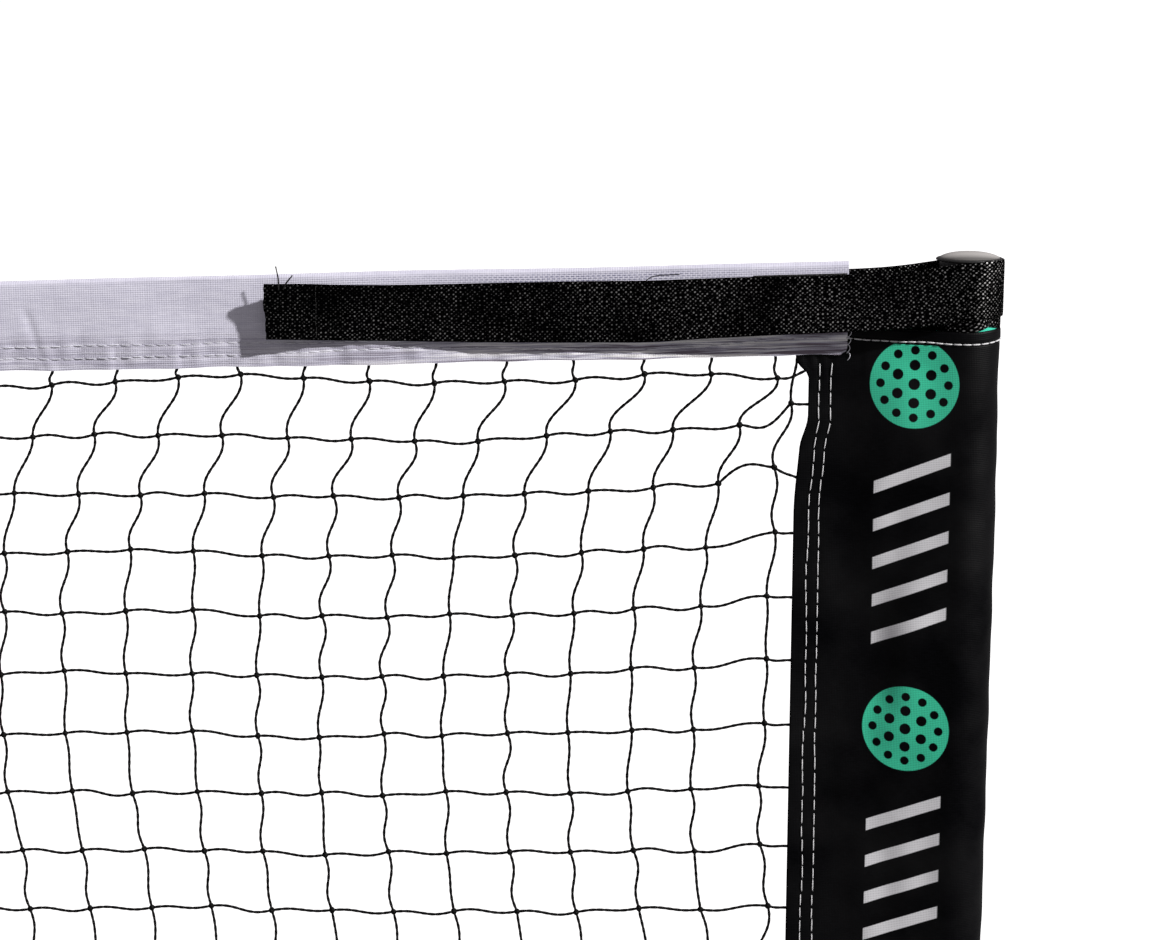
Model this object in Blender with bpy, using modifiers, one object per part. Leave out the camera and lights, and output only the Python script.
"""Portable pickleball net: a knock-down tube frame with a knotted net hung between two posts.

Metres. +X runs along the net to the right post, -Y is the front and +Z is up.
The origin is on the ground under the middle of the net.
Run with: blender --background --python part.py
"""

import math
from contextlib import contextmanager

import bmesh
import bpy
from mathutils import Matrix, Vector

# ---------------------------------------------------------------- driving dimensions
# Names in _R are radii. An "out" place is measured in X from a post's axis, and is
# positive away from mid-net, so places along the net are negative.
POST_X = 3.353  # post centre from mid-net: 22 ft between posts
POST_R, POST_BORE_R = 0.0159, 0.0147  # 1 1/4 in steel tube
POST_TOP = 0.915
SPIGOT_R, SPIGOT_BORE_R = 0.0143, 0.0131  # reduced end that slips into the next tube
SPIGOT_LENGTH = 0.075
SPIGOT_ROOT = 0.010  # how far a spigot reaches back inside its shoulder
FOOT_R = 0.0175
RAIL_Z = 0.026  # height of the foot bars and ground rails
END_FOOT_HALF, CENTRE_FOOT_HALF = 0.522, 0.300
STUB_LENGTH = 0.060  # from a base's centre to the first rail's shoulder
RISER_TOP = 0.120
JOINT_GAP = 0.0003
BUTTON_R, BUTTON_HOLE_R = 0.0040, 0.0045
BUTTON_SIDES = 12
BUTTON_SETBACK = 0.040  # from a shoulder to its snap button
POST_BUTTON_Z = 0.142
POLE_BUTTON_Z = 0.150
POLE_Y = 0.022  # the centre pole stands behind the net

NET_TOP = 0.9144  # 36 in at the posts
CENTRE_DROP = 0.0508  # 34 in at the middle
SAG_POWER = 2.3
NET_HEIGHT = 0.762
BAND_END = POST_X - 0.064
BAND_HALF = 0.0024  # half the top band's thickness in Y
BINDING_HALF = 0.0018  # half the bottom binding's thickness in Y
SLEEVE_INNER_R = 0.0170

SIDES = 24
STATIONS = 16
STATION_XS = [BAND_END * (2.0 * i / STATIONS - 1.0) for i in range(1, STATIONS)]

# Three rail sections lie between each end base and the centre base.
RAIL_SECTIONS = ("outer", "middle", "inner")
RAIL_SPAN = (POST_X - 2 * STUB_LENGTH) / len(RAIL_SECTIONS)
SHOULDERS = [POST_X - STUB_LENGTH - i * RAIL_SPAN for i in range(len(RAIL_SECTIONS))]
# Snap buttons on each half of the ground frame, from the post towards mid-net.
BUTTON_XS = [shoulder - BUTTON_SETBACK for shoulder in SHOULDERS] + [STUB_LENGTH + BUTTON_SETBACK]

ENDS = ((1, "right"), (-1, "left"))
RIGHTWARD, REARWARD, UP = Vector((1, 0, 0)), Vector((0, 1, 0)), Vector((0, 0, 1))

# ---------------------------------------------------------------- scene and materials
for old in list(bpy.data.objects):
    bpy.data.objects.remove(old, do_unlink=True)

parts = bpy.data.collections.new("portable_pickleball_net")
helpers = bpy.data.collections.new("cutters")
bpy.context.scene.collection.children.link(parts)
bpy.context.scene.collection.children.link(helpers)
helpers.hide_render = True


def material(name, colour, roughness, metallic=0.0):
    mat = bpy.data.materials.new(name)
    mat.use_nodes = True
    shader = mat.node_tree.nodes["Principled BSDF"]
    shader.inputs["Base Color"].default_value = (*colour, 1.0)
    shader.inputs["Roughness"].default_value = roughness
    shader.inputs["Metallic"].default_value = metallic
    return mat


BLACK_STEEL = material(
    "powder_coated_steel", colour=(0.018, 0.018, 0.02), roughness=0.42, metallic=0.3
)
SPRING_STEEL = material("spring_steel", colour=(0.62, 0.62, 0.6), roughness=0.3, metallic=1.0)
CAP_PLASTIC = material("cap_plastic", colour=(0.05, 0.05, 0.052), roughness=0.35)
BLACK_RUBBER = material("foot_rubber", colour=(0.02, 0.02, 0.02), roughness=0.8)
TEAL = material("teal_collar", colour=(0.06, 0.6, 0.45), roughness=0.4)
WHITE_VINYL = material("white_vinyl", colour=(0.78, 0.77, 0.84), roughness=0.5)
BLACK_CORD = material("net_cord", colour=(0.012, 0.012, 0.012), roughness=0.8)
CABLE = material("headline_cable", colour=(0.5, 0.5, 0.52), roughness=0.4, metallic=1.0)
BLACK_WEBBING = material("black_webbing", colour=(0.01, 0.01, 0.01), roughness=0.7)
SLEEVE_CLOTH = material("sleeve_cloth", colour=(0.012, 0.012, 0.015), roughness=0.45)
HOOK_TAPE = material("hook_and_loop", colour=(0.015, 0.015, 0.015), roughness=0.9)


# ---------------------------------------------------------------- building blocks
def put(obj, collection, mat=None):
    for owner in list(obj.users_collection):
        owner.objects.unlink(obj)
    collection.objects.link(obj)
    if mat is not None:
        obj.data.materials.clear()
        obj.data.materials.append(mat)
    if collection is helpers:
        obj.hide_render = True
        obj.display_type = "WIRE"
    return obj


@contextmanager
def editing(mesh):
    """Opens a mesh for bmesh work and writes it back."""
    work = bmesh.new()
    work.from_mesh(mesh)
    yield work
    work.to_mesh(mesh)
    work.free()


def plain_mesh(obj, in_place=False):
    """Replaces obj by a welded mesh of its evaluated shape.

    The mesh is kept about its own origin if in_place, else in world space.
    """
    bpy.context.view_layer.update()
    graph = bpy.context.evaluated_depsgraph_get()
    mesh = bpy.data.meshes.new_from_object(obj.evaluated_get(graph), depsgraph=graph)
    placed = obj.matrix_world.copy()
    if not in_place:
        mesh.transform(placed)
    with editing(mesh) as work:
        bmesh.ops.remove_doubles(work, verts=work.verts, dist=1e-6)
        bmesh.ops.recalc_face_normals(work, faces=work.faces)
    name, mats = obj.name, [slot.material for slot in obj.material_slots]
    owners = list(obj.users_collection)
    bpy.data.objects.remove(obj, do_unlink=True)
    new = bpy.data.objects.new(name, mesh)
    if in_place:
        new.matrix_world = placed
    for mat in mats:
        if mat is not None and mat.name not in mesh.materials:
            mesh.materials.append(mat)
    for owner in owners:
        owner.objects.link(new)
    return new


def shared_mesh(obj, name):
    """Bakes obj to a mesh for several objects to share, and removes obj."""
    obj = plain_mesh(obj)
    mesh = obj.data
    mesh.name = name
    bpy.data.objects.remove(obj, do_unlink=True)
    return mesh


def cylinder(name, radius, start, end, collection=helpers, mat=None, sides=SIDES):
    start, end = Vector(start), Vector(end)
    along = end - start
    bpy.ops.mesh.primitive_cylinder_add(
        vertices=sides,
        radius=radius,
        depth=along.length,
        location=(start + end) / 2,
        rotation=along.to_track_quat("Z", "Y").to_euler(),
    )
    obj = bpy.context.object
    obj.name = name
    return put(obj, collection, mat)


def box(name, low, high, collection=helpers, mat=None):
    low, high = Vector(low), Vector(high)
    bpy.ops.mesh.primitive_cube_add(size=1.0, location=(low + high) / 2)
    obj = bpy.context.object
    obj.name = name
    obj.data.transform(Matrix.Diagonal((*(high - low), 1.0)))
    return put(obj, collection, mat)


def turned(name, profile, origin, direction, mat, closed=False, collection=parts, steps=SIDES):
    """A profile of (radius, height) points turned about an axis; closed joins its two ends."""
    mesh = bpy.data.meshes.new(name)
    edges = [(i, i + 1) for i in range(len(profile) - 1)]
    if closed:
        edges.append((len(profile) - 1, 0))
    mesh.from_pydata([(radius, 0.0, z) for radius, z in profile], edges, [])
    obj = put(bpy.data.objects.new(name, mesh), collection, mat)
    screw = obj.modifiers.new("turn", "SCREW")
    screw.axis = "Z"
    screw.angle = 2 * math.pi
    screw.steps = screw.render_steps = steps
    screw.use_merge_vertices = True
    screw.merge_threshold = 1e-5
    obj.rotation_euler = Vector(direction).to_track_quat("Z", "Y").to_euler()
    obj.location = origin
    return plain_mesh(obj, in_place=True)


def tube(name, radius, bore_radius, start, end, mat):
    along = Vector(end) - Vector(start)
    length = along.length
    profile = [(radius, length), (radius, 0.0), (bore_radius, 0.0), (bore_radius, length)]
    return turned(name, profile, start, along, mat, closed=True)


def combine(body, other, operation):
    modifier = body.modifiers.new(operation.lower() + "_" + other.name, "BOOLEAN")
    modifier.operation = operation
    modifier.object = other
    modifier.solver = "EXACT"


def add_rod(body, suffix, radius, start, end):
    combine(body, cylinder(body.name + suffix, radius, start, end), "UNION")


def bore(body, suffix, radius, start, end, sides=SIDES):
    combine(body, cylinder(body.name + suffix, radius, start, end, sides=sides), "DIFFERENCE")


HOLE_START, HOLE_END = 0.008, 0.024  # a hole cutter's ends, from the tube's axis


def button_hole(body, centre, direction, suffix="_hole"):
    """A round hole through one wall for a snap button."""
    centre = Vector(centre)
    start, end = centre + direction * HOLE_START, centre + direction * HOLE_END
    bore(body, suffix, BUTTON_HOLE_R, start, end, sides=BUTTON_SIDES)


def arc(centre, radius, start, end, count):
    angles = [start + (end - start) * i / count for i in range(count + 1)]
    return [
        (centre[0] + radius * math.cos(angle), centre[1] + radius * math.sin(angle))
        for angle in angles
    ]


def offset_outline(path, thick):
    """Closed outline of a ribbon of even thickness along a path, with mitred corners."""
    left, right = [], []
    points = [Vector(point) for point in path]
    steps = [(after - before).normalized() for before, after in zip(points, points[1:])]
    for point, before, after in zip(points, steps[:1] + steps, steps + steps[-1:]):
        normal_before = Vector((-before.y, before.x))
        normal_after = Vector((-after.y, after.x))
        mitre = (normal_before + normal_after).normalized()
        reach = thick / 2 / max(0.3, mitre.dot(normal_after))  # 0.3 limits sharp mitres
        left.append(point + mitre * reach)
        right.append(point - mitre * reach)
    return left + right[::-1]


def flat(name, outline, depth, mat, matrix, collection=parts):
    """A filled 2D outline given an even depth, then placed by a matrix."""
    curve = bpy.data.curves.new(name, "CURVE")
    curve.dimensions = "2D"
    curve.fill_mode = "BOTH"
    curve.extrude = depth / 2
    spline = curve.splines.new("POLY")
    spline.points.add(len(outline) - 1)
    for point, (across, up) in zip(spline.points, outline):
        point.co = (across, up, 0.0, 1.0)
    spline.use_cyclic_u = True
    obj = put(bpy.data.objects.new(name, curve), collection)
    obj.matrix_world = matrix
    obj = plain_mesh(obj)
    obj.data.materials.append(mat)
    return obj


def slice_across(obj, xs):
    """Adds cuts square to X so that the piece can follow a curve along X."""
    with editing(obj.data) as work:
        for x in xs:
            geometry = work.verts[:] + work.edges[:] + work.faces[:]
            bmesh.ops.bisect_plane(
                work, geom=geometry, dist=1e-7, plane_co=(x, 0, 0), plane_no=(1, 0, 0)
            )
        bmesh.ops.recalc_face_normals(work, faces=work.faces)


def lift(obj, rule):
    """Raises each vertex by rule(x)."""
    for vertex in obj.data.vertices:
        vertex.co.z += rule(vertex.co.x)


# ---------------------------------------------------------------- ground frame
FOOT_BORE_R = 0.0163
END_BORE_HALF, CENTRE_BORE_HALF = 0.6, 0.4  # foot bore cutters, longer than the bars
POST_SPIGOT_LENGTH = 0.105
STUB_BORE_START, STUB_BORE_END = 0.030, 0.20  # from the base's centre
RISER_BORE_LOW, RISER_BORE_HIGH = 0.050, 0.30
POLE_RISER_TOP = 0.200
POLE_BORE_LOW, POLE_BORE_HIGH = 0.055, 0.25


def foot_bar(name, x, half):
    ends = (x, -half, RAIL_Z), (x, half, RAIL_Z)
    return cylinder(name, FOOT_R, *ends, parts, BLACK_STEEL)


def end_base(name, side):
    """Foot bar with a riser for the post and a stub towards mid-net for the first rail."""
    x = side * POST_X

    def inward(distance):
        return (x - side * distance, 0, RAIL_Z)

    def upright(z):
        return (x, 0, z)

    body = foot_bar(name, x, END_FOOT_HALF)
    add_rod(body, "_riser", POST_R, upright(RAIL_Z), upright(RISER_TOP))
    spigot_ends = upright(RISER_TOP - SPIGOT_ROOT), upright(RISER_TOP + POST_SPIGOT_LENGTH)
    add_rod(body, "_post_spigot", SPIGOT_R, *spigot_ends)
    add_rod(body, "_stub", POST_R, inward(0), inward(STUB_LENGTH))
    spigot_ends = inward(STUB_LENGTH - SPIGOT_ROOT), inward(STUB_LENGTH + SPIGOT_LENGTH)
    add_rod(body, "_rail_spigot", SPIGOT_R, *spigot_ends)
    bore_ends = (x, -END_BORE_HALF, RAIL_Z), (x, END_BORE_HALF, RAIL_Z)
    bore(body, "_foot_bore", FOOT_BORE_R, *bore_ends)
    bore(body, "_riser_bore", SPIGOT_BORE_R, upright(RISER_BORE_LOW), upright(RISER_BORE_HIGH))
    bore(body, "_stub_bore", SPIGOT_BORE_R, inward(STUB_BORE_START), inward(STUB_BORE_END))
    button_hole(body, upright(POST_BUTTON_Z), -REARWARD)
    button_hole(body, (side * BUTTON_XS[0], 0, RAIL_Z), UP, "_rail_hole")


def centre_base():
    """Short foot bar with a stub and spigot each way, and a riser behind for the pole."""

    def along(x):
        return (x, 0, RAIL_Z)

    def pole_axis(z):
        return (0, POLE_Y, z)

    body = foot_bar("centre_base", 0, CENTRE_FOOT_HALF)
    spigot_end = STUB_LENGTH + SPIGOT_LENGTH
    add_rod(body, "_stubs", POST_R, along(-STUB_LENGTH), along(STUB_LENGTH))
    add_rod(body, "_spigots", SPIGOT_R, along(-spigot_end), along(spigot_end))
    add_rod(body, "_riser", POST_R, pole_axis(RAIL_Z), pole_axis(POLE_RISER_TOP))
    bore_ends = (0, -CENTRE_BORE_HALF, RAIL_Z), (0, CENTRE_BORE_HALF, RAIL_Z)
    bore(body, "_foot_bore", FOOT_BORE_R, *bore_ends)
    for side in (-1, 1):
        bore_ends = along(side * STUB_BORE_START), along(side * STUB_BORE_END)
        bore(body, f"_bore{side}", SPIGOT_BORE_R, *bore_ends)
    bore(body, "_riser_bore", POST_BORE_R, pole_axis(POLE_BORE_LOW), pole_axis(POLE_BORE_HIGH))
    for side in (-1, 1):
        button_hole(body, along(side * BUTTON_XS[-1]), UP, f"_hole{side}")
    button_hole(body, pole_axis(POLE_BUTTON_Z), REARWARD)


def ground_rail(name, side, section):
    """One rail section, counted from the post. All but the last end in a spigot."""
    outer = SHOULDERS[section] - JOINT_GAP
    length = RAIL_SPAN - 2 * JOINT_GAP
    profile = [(POST_R, length), (POST_R, 0.0)]
    if section < len(RAIL_SECTIONS) - 1:
        profile += [
            (SPIGOT_R, 0.0),
            (SPIGOT_R, -SPIGOT_LENGTH),
            (SPIGOT_BORE_R, -SPIGOT_LENGTH),
            (SPIGOT_BORE_R, SPIGOT_ROOT),
            (POST_BORE_R, SPIGOT_ROOT),
        ]
    else:
        profile.append((POST_BORE_R, 0.0))
    profile.append((POST_BORE_R, length))
    origin = (side * (outer - length), 0, RAIL_Z)
    rail = turned(name, profile, origin, (side, 0, 0), BLACK_STEEL, closed=True)
    for i, x in enumerate(BUTTON_XS[section : section + 2]):
        button_hole(rail, (side * x, 0, RAIL_Z), UP, f"_hole{i}")


centre_base()
for side, word in ENDS:
    end_base(f"{word}_base", side)
    for section, place in enumerate(RAIL_SECTIONS):
        ground_rail(f"{word}_rail_{place}", side, section)

# ---------------------------------------------------------------- rubber feet
# (radius, distance beyond the foot bar's end)
FOOT_CAP_PROFILE = [
    (0.0, 0.0115), (0.0175, 0.0115), (0.0200, 0.0095), (0.0208, 0.0060),
    (0.0208, -0.0340), (0.0178, -0.0340), (0.0178, 0.0003), (0.0, 0.0003),
]
FOOT_PAD_LOW, FOOT_PAD_HIGH = (-0.0140, -0.0310, 0.0), (0.0140, 0.0075, 0.0079)
FOOT_PAD_CORNER = 0.004


def foot_cap_mesh():
    """Cup with a flat pad under it. The bar's end is at y = 0 and the bar runs towards -Y."""
    cup = turned(
        "foot_cap_cup", FOOT_CAP_PROFILE, (0, 0, RAIL_Z), REARWARD, BLACK_RUBBER,
        collection=helpers,
    )
    pad = box("foot_cap_pad", FOOT_PAD_LOW, FOOT_PAD_HIGH)
    with editing(pad.data) as work:
        upright_edges = [
            edge for edge in work.edges if abs(edge.verts[0].co.z - edge.verts[1].co.z) > 1e-4
        ]
        bmesh.ops.bevel(
            work, geom=upright_edges, offset=FOOT_PAD_CORNER, segments=2, affect="EDGES"
        )
    combine(cup, pad, "UNION")
    return shared_mesh(cup, "foot_cap")


foot_cap = foot_cap_mesh()
for base, x, half in (
    ("right", POST_X, END_FOOT_HALF),
    ("left", -POST_X, END_FOOT_HALF),
    ("centre", 0.0, CENTRE_FOOT_HALF),
):
    for word, y, turn in (("front", -half, math.pi), ("rear", half, 0.0)):
        cap = bpy.data.objects.new(f"{base}_foot_cap_{word}", foot_cap)
        cap.location = (x, y, 0)
        cap.rotation_euler = (0, 0, turn)
        parts.objects.link(cap)

# ---------------------------------------------------------------- posts, caps and collars
CAP_TOP = 0.9225
DOME_R, DOME_BASE, DOME_RISE = 0.0160, 0.0020, 0.0055  # base is above the post's top
# (radius, height above the post's top): rim, then the hollow plug
POST_CAP_RIM = [
    (0.0178, 0.0020), (0.0184, 0.0015), (0.0184, 0.0007), (0.0180, 0.0003),
    (0.0141, 0.0003), (0.0141, -0.0200), (0.0132, -0.0220), (0.0116, -0.0220),
    (0.0116, -0.0020), (0.0, -0.0020),
]
COLLAR_R, COLLAR_BORE_R = 0.0167, 0.0162
COLLAR_LOW, COLLAR_HEIGHT = 0.866, 0.023


def post(name, x):
    bottom = (x, 0, RISER_TOP + JOINT_GAP)
    body = tube(name, POST_R, POST_BORE_R, bottom, (x, 0, POST_TOP), BLACK_STEEL)
    button_hole(body, (x, 0, POST_BUTTON_Z), -REARWARD)


def post_cap(name, x):
    profile = [(0.0, CAP_TOP - POST_TOP)]
    for i in range(1, 6):
        angle = math.radians(90 - 18 * i)
        profile.append((DOME_R * math.cos(angle), DOME_BASE + DOME_RISE * math.sin(angle)))
    turned(name, profile + POST_CAP_RIM, (x, 0, POST_TOP), UP, CAP_PLASTIC)


def post_collar(name, x):
    ring = [
        (COLLAR_R, COLLAR_HEIGHT), (COLLAR_R, 0.0),
        (COLLAR_BORE_R, 0.0), (COLLAR_BORE_R, COLLAR_HEIGHT),
    ]
    turned(name, ring, (x, 0, COLLAR_LOW), UP, TEAL, closed=True)


for side, word in ENDS:
    post(f"{word}_post", side * POST_X)
    post_cap(f"{word}_post_cap", side * POST_X)
    post_collar(f"{word}_post_collar", side * POST_X)

# ---------------------------------------------------------------- centre pole
POLE_LOW, POLE_JOIN = 0.060, 0.520  # lower tube
UPPER_POLE_R, UPPER_POLE_BORE_R = 0.0127, 0.0116
UPPER_POLE_LOW, POLE_TOP = 0.380, 0.838
# (radius, height above the pole's top)
POLE_TIP_PROFILE = [
    (0.0, 0.0100), (0.0050, 0.0095), (0.0090, 0.0078), (0.0117, 0.0045),
    (0.0127, 0.0003), (0.0112, 0.0003), (0.0112, -0.0230), (0.0, -0.0230),
]
LOCK_BELOW_JOIN = 0.020
# (radius, height above the lock's foot)
LOCK_PROFILE = [
    (0.0130, 0.045), (0.0152, 0.045), (0.0168, 0.041), (0.0168, 0.004),
    (0.0158, 0.0), (0.0146, 0.0), (0.0146, 0.0203), (0.0130, 0.0203),
]
GRIP_MIN_R = 0.0165  # vertices beyond this belong to the ridged grip
GROOVE_R = 0.0157


def centre_pole():
    lower = tube(
        "centre_pole_lower", SPIGOT_R, SPIGOT_BORE_R,
        (0, POLE_Y, POLE_LOW), (0, POLE_Y, POLE_JOIN), BLACK_STEEL,
    )
    button_hole(lower, (0, POLE_Y, POLE_BUTTON_Z), REARWARD)
    tube(
        "centre_pole_upper", UPPER_POLE_R, UPPER_POLE_BORE_R,
        (0, POLE_Y, UPPER_POLE_LOW), (0, POLE_Y, POLE_TOP), BLACK_STEEL,
    )
    turned("centre_pole_tip", POLE_TIP_PROFILE, (0, POLE_Y, POLE_TOP), UP, CAP_PLASTIC)


def centre_pole_lock():
    """Collar over the join, with every other line of its grip sunk to a groove."""
    foot = (0, POLE_Y, POLE_JOIN - LOCK_BELOW_JOIN)
    lock = turned("centre_pole_lock", LOCK_PROFILE, foot, UP, CAP_PLASTIC, closed=True)
    for vertex in lock.data.vertices:
        radial = Vector((vertex.co.x, vertex.co.y))
        step = round(math.degrees(math.atan2(radial.y, radial.x)) / (360 / SIDES))
        if radial.length > GRIP_MIN_R and step % 2:
            radial *= GROOVE_R / radial.length
            vertex.co.x, vertex.co.y = radial


centre_pole()
centre_pole_lock()

# ---------------------------------------------------------------- snap buttons on spring clips
LEAF_THICK, LEAF_WIDTH = 0.0007, 0.0085
LEG_END_X = -0.006
BEND_X, BEND_Z, BEND_R = 0.018, 0.0078, 0.003
BUTTON_LEG_KNEE_X = 0.010
FREE_LEG_END_Z = -0.0022
# (radius, distance from the tube's axis)
BUTTON_PROFILE = [
    (0.0, 0.0183), (0.0018, 0.0180), (0.0032, 0.0172),
    (BUTTON_R, 0.0158), (BUTTON_R, 0.01095), (0.0, 0.01095),
]


def clip_mesh():
    """A bent leaf spring with a round button on one leg.

    X runs along the tube and Z points out through the hole.
    """
    leg_z = BEND_Z + BEND_R
    path = [(LEG_END_X, leg_z), (BUTTON_LEG_KNEE_X, leg_z)]
    path += arc((BEND_X, BEND_Z), BEND_R, math.pi / 2, -math.pi / 2, 5)
    path.append((LEG_END_X, FREE_LEG_END_Z))
    stand = Matrix.Rotation(math.radians(90), 4, "X")
    outline = offset_outline(path, LEAF_THICK)
    leaf = flat("clip_leaf", outline, LEAF_WIDTH, SPRING_STEEL, stand, helpers)
    button = turned(
        "clip_button", BUTTON_PROFILE, (0, 0, 0), UP, SPRING_STEEL,
        collection=helpers, steps=BUTTON_SIDES,
    )
    combine(leaf, button, "UNION")
    return shared_mesh(leaf, "snap_clip")


snap_clip = clip_mesh()


def clip_at(name, centre, along, outward):
    across = outward.cross(along)
    turn = Matrix((along, across, outward)).transposed().to_4x4()
    obj = bpy.data.objects.new(name, snap_clip)
    obj.matrix_world = Matrix.Translation(centre) @ turn
    parts.objects.link(obj)


for side, word in ENDS:
    clip_at(f"{word}_post_snap_clip", (side * POST_X, 0, POST_BUTTON_Z), UP, -REARWARD)
    for number, x in enumerate(BUTTON_XS, 1):
        # The last clip sits in the centre base's spigot and faces the other way.
        along = RIGHTWARD * (side if number < len(BUTTON_XS) else -side)
        clip_at(f"{word}_rail_snap_clip_{number}", (side * x, 0, RAIL_Z), along, UP)
clip_at("centre_pole_snap_clip", (0, POLE_Y, POLE_BUTTON_Z), UP, REARWARD)

# ---------------------------------------------------------------- net
BAND_HEIGHT, BAND_WALL = 0.0508, 0.0007
CABLE_R = 0.00135
CABLE_SETBACK, CABLE_BELOW_TOP = 0.004, 0.0040  # from the band's ends and top
NETTING_END = POST_X - 0.0555
NETTING_HALF = 0.0005  # half its thickness
NETTING_BELOW_TOP, NETTING_ABOVE_BOTTOM = 0.045, 0.006
BINDING_HEIGHT, BINDING_WALL = 0.036, 0.0006
# Carries (y, z) outlines to the world, with their depth along X.
YZ = Matrix(((0, 0, 1, 0), (1, 0, 0, 0), (0, 1, 0, 0), (0, 0, 0, 1)))


def net_top(x):
    """Height of the net's top edge: full at the band's ends and lower in the middle."""
    share = min(1.0, abs(x) / BAND_END)
    return NET_TOP - CENTRE_DROP * (1.0 - share**SAG_POWER)


def sag(x):
    return net_top(x) - NET_TOP


def folded_cloth(name, half, wall, height, width, mat, rise=0.0, flip=1, count=6):
    """Cloth from its front hem up, over an edge and down to its rear hem; flip=-1 inverts it."""
    mid = half - wall / 2
    path = [(-mid, -height)] + arc((0, -mid), mid, math.pi, 0, count) + [(mid, -height)]
    outline = [(y, flip * z + rise) for y, z in offset_outline(path, wall)]
    return flat(name, outline, width, mat, YZ)


def top_band():
    rise = -BAND_WALL / 2
    height = BAND_HEIGHT - BAND_WALL / 2
    band = folded_cloth(
        "top_band", BAND_HALF, BAND_WALL, height, 2 * BAND_END, WHITE_VINYL, rise=rise
    )
    slice_across(band, STATION_XS)
    lift(band, net_top)


def headline_cable():
    end = BAND_END - CABLE_SETBACK
    cable = plain_mesh(
        cylinder("headline_cable", CABLE_R, (-end, 0, 0), (end, 0, 0), parts, CABLE, sides=10)
    )
    slice_across(cable, STATION_XS)
    lift(cable, lambda x: net_top(x) - CABLE_BELOW_TOP)


def netting():
    """A thin sheet, built one unit high and then fitted between its curved edges."""
    low, high = (-NETTING_END, -NETTING_HALF, 0.0), (NETTING_END, NETTING_HALF, 1.0)
    sheet = plain_mesh(box("netting", low, high, parts, BLACK_CORD))
    slice_across(sheet, STATION_XS + [-BAND_END, BAND_END])
    for vertex in sheet.data.vertices:
        upper = vertex.co.z > 0.5
        below = NETTING_BELOW_TOP if upper else NET_HEIGHT - NETTING_ABOVE_BOTTOM
        vertex.co.z = net_top(vertex.co.x) - below


def bottom_binding():
    binding = folded_cloth(
        "bottom_binding", BINDING_HALF, BINDING_WALL, BINDING_HEIGHT, 2 * BAND_END,
        BLACK_WEBBING, flip=-1, count=4,
    )
    slice_across(binding, STATION_XS)
    lift(binding, lambda x: net_top(x) - NET_HEIGHT + BINDING_WALL / 2)


top_band()
headline_cable()
netting()
bottom_binding()


# ---------------------------------------------------------------- sleeves round the posts
SLEEVE_LOW, SLEEVE_HIGH = 0.200, 0.8755
SLEEVE_WALL = 0.0005
SLEEVE_EDGE, SLEEVE_SEAM = -0.090, -0.050  # out places of the flap edge and nearest seam
SLEEVE_FLAP_GAP = 0.0008  # from the net's mid-plane to a flap


def tangent_angle(point, radius, side):
    """Angle where a line from point touches a circle about the origin; side is +1 or -1 in Y."""
    distance = math.hypot(*point)
    toward = math.atan2(point[1], point[0])
    return toward - side * math.acos(radius / distance)


def wrap_path(back, front, radius):
    """Path from back points, round the post, to front points, all in (out, y)."""
    start = tangent_angle(back[-1], radius, 1)
    end = tangent_angle(front[0], radius, -1)
    return back + arc((0, 0), radius, start, end, 18) + front


def side_matrix(side, z):
    """Carries (out, y) outlines to a post."""
    return Matrix.Translation((side * POST_X, 0, z)) @ Matrix.Diagonal((side, 1, 1, 1))


def sleeve(name, side):
    flap = SLEEVE_FLAP_GAP + SLEEVE_WALL / 2
    back = [(SLEEVE_EDGE, flap), (SLEEVE_SEAM, flap)]
    front = [(SLEEVE_SEAM, -flap), (SLEEVE_EDGE, -flap)]
    outline = offset_outline(
        wrap_path(back, front, SLEEVE_INNER_R + SLEEVE_WALL / 2), SLEEVE_WALL
    )
    place = side_matrix(side, (SLEEVE_HIGH + SLEEVE_LOW) / 2)
    flat(name, outline, SLEEVE_HIGH - SLEEVE_LOW, SLEEVE_CLOTH, place)


for side, word in ENDS:
    sleeve(f"{word}_sleeve", side)

# ---------------------------------------------------------------- straps
STRAP_WIDTH, STRAP_THICK = 0.0310, 0.0013
STRAP_CLEARANCE = 0.0004  # from the band or binding
STRAP_TOP = 0.9125  # top strap's upper edge at the post
STRAP_BELOW_BAND_TOP = 0.0066
LOWER_STRAP_LOW = 0.160  # lower strap's lower edge at the post
LOWER_ABOVE_NET_BOTTOM = 0.003
TOP_FRONT_CLEARANCE = 0.0049  # from mid-plane, leaves room for the hook and loop
# Out places
LOOP_END, LOOP_BEND = -0.112, -0.063
STRAP_SPLIT = -0.0660  # where the sewn loop ends and the free tail starts
TAIL_START = STRAP_SPLIT - 0.0003
TOP_TAIL_END, LOWER_TAIL_END = -0.380, -0.196
SLOPE_START, SLOPE_END = -0.020, -0.064  # between the post's height and the band's
LOOP_CUTS = (SLOPE_START, -0.042, -0.090)

BACK_Y = BAND_HALF + STRAP_CLEARANCE + STRAP_THICK / 2
FRONT_Y = TOP_FRONT_CLEARANCE + STRAP_THICK / 2
LOWER_Y = BINDING_HALF + STRAP_CLEARANCE + STRAP_THICK / 2
BAND_STRAP_TOP = NET_TOP - STRAP_BELOW_BAND_TOP
TOP_SHIFT = BAND_STRAP_TOP - STRAP_TOP
LOWER_SHIFT = NET_TOP - NET_HEIGHT + LOWER_ABOVE_NET_BOTTOM - LOWER_STRAP_LOW

# name; near and far out; low and high y; low and high z from the strap's top on the band
TAPES = (
    ("loop_pad", -0.0648, -0.1150, -0.0033, -0.0027, -0.0300, 0.0012),
    ("hook_strip", -0.0690, -0.1300, -0.0046, -0.0036, -0.0285, -0.0020),
)


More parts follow.
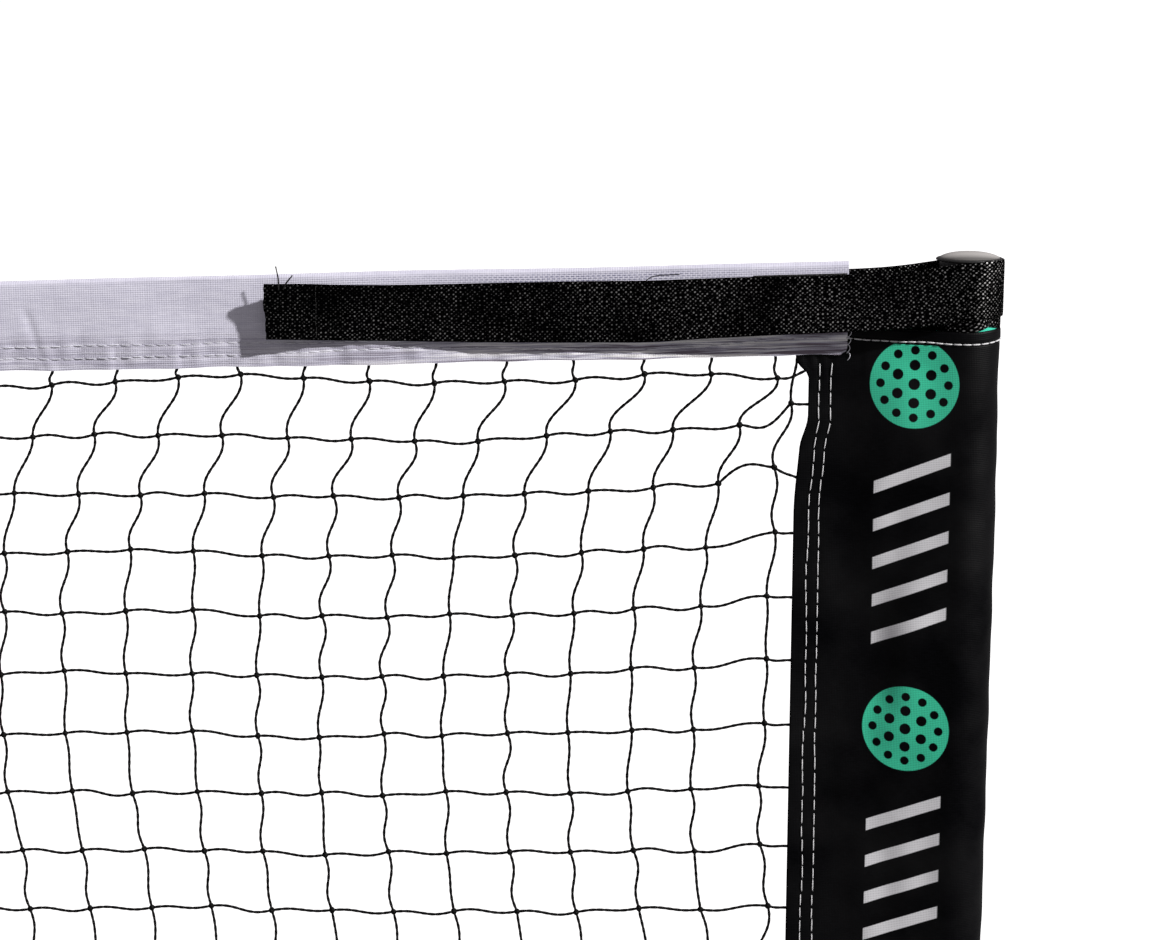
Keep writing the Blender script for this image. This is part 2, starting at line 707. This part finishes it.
def strap_rise(x, shift):
    """Change in a strap's height at x; shift is the step from post to band before any sag."""
    out = abs(x) - POST_X
    if out > SLOPE_START:
        return 0.0
    if out > SLOPE_END:
        return shift * (out - SLOPE_START) / (SLOPE_END - SLOPE_START)
    return shift + sag(x)


def strap_loop(name, side, top, back_y, front_y, shift):
    """Webbing sewn behind the net and passed round the post to the front."""
    back = [(LOOP_END, back_y), (LOOP_BEND, back_y)]
    front = [(LOOP_BEND, -front_y), (STRAP_SPLIT, -front_y)]
    outline = offset_outline(
        wrap_path(back, front, SLEEVE_INNER_R + STRAP_THICK / 2), STRAP_THICK
    )
    place = side_matrix(side, top - STRAP_WIDTH / 2)
    loop = flat(name, outline, STRAP_WIDTH, BLACK_WEBBING, place)
    slice_across(loop, [side * (POST_X + out) for out in LOOP_CUTS])
    lift(loop, lambda x: strap_rise(x, shift))


def block(name, side, near, far, y_low, y_high, z_low, z_high, mat):
    """A box between two out places."""
    x_low, x_high = sorted((side * (POST_X + near), side * (POST_X + far)))
    return plain_mesh(box(name, (x_low, y_low, z_low), (x_high, y_high, z_high), parts, mat))


def strap_tail(name, side, top, front_y, end, shift):
    """The free tail that lies over the front of the net."""
    tail = block(
        name, side, TAIL_START, end, -front_y - STRAP_THICK / 2, -front_y + STRAP_THICK / 2,
        top - STRAP_WIDTH, top, BLACK_WEBBING,
    )
    cuts = [TAIL_START + (end - TAIL_START) * i / 4 for i in (1, 2, 3)]
    slice_across(tail, [side * (POST_X + out) for out in cuts])
    lift(tail, lambda x: strap_rise(x, shift))


for side, word in ENDS:
    for level, top, back_y, front_y, tail_end, shift in (
        ("top", STRAP_TOP, BACK_Y, FRONT_Y, TOP_TAIL_END, TOP_SHIFT),
        ("lower", LOWER_STRAP_LOW + STRAP_WIDTH, LOWER_Y, LOWER_Y, LOWER_TAIL_END, LOWER_SHIFT),
    ):
        strap_loop(f"{word}_{level}_strap_loop", side, top, back_y, front_y, shift)
        strap_tail(f"{word}_{level}_strap_tail", side, top, front_y, tail_end, shift)
    for tape, near, far, y_low, y_high, z_low, z_high in TAPES:
        piece = block(
            f"{word}_{tape}", side, near, far, y_low, y_high,
            BAND_STRAP_TOP + z_low, BAND_STRAP_TOP + z_high, HOOK_TAPE,
        )
        lift(piece, sag)

# ---------------------------------------------------------------- centre strap and pole pocket
CENTRE_STRAP_HALF, CENTRE_STRAP_WALL, CENTRE_STRAP_WIDTH = 0.0043, 0.0012, 0.050
CENTRE_STRAP_LOW = 0.1025
CENTRE_STRAP_ABOVE_NET = 0.0010
POCKET_R, POCKET_BORE_R = 0.0145, 0.0131
POCKET_LOW, POCKET_TOP = 0.792, 0.8504
HOLLOW_LOW, HOLLOW_TOP = 0.770, 0.8488
BACKING_LOW, BACKING_HIGH = (-0.020, 0.0047, 0.788), (0.020, 0.0106, 0.8545)


def centre_strap():
    fold_z = net_top(0.0) + CENTRE_STRAP_ABOVE_NET
    folded_cloth(
        "centre_strap", CENTRE_STRAP_HALF, CENTRE_STRAP_WALL, fold_z - CENTRE_STRAP_LOW,
        CENTRE_STRAP_WIDTH, BLACK_WEBBING, rise=fold_z,
    )


def pole_pocket():
    """A cup over the pole's top, joined to a flat backing behind the net."""
    ends = (0, POLE_Y, POCKET_LOW), (0, POLE_Y, POCKET_TOP)
    pocket = cylinder("pole_pocket", POCKET_R, *ends, parts, BLACK_WEBBING)
    combine(pocket, box("pocket_backing", BACKING_LOW, BACKING_HIGH), "UNION")
    ends = (0, POLE_Y, HOLLOW_LOW), (0, POLE_Y, HOLLOW_TOP)
    combine(pocket, cylinder("pocket_hollow", POCKET_BORE_R, *ends), "DIFFERENCE")


centre_strap()
pole_pocket()

for obj in parts.objects:
    obj.data.shade_smooth()
    obj.data.set_sharp_from_angle(angle=math.radians(40))
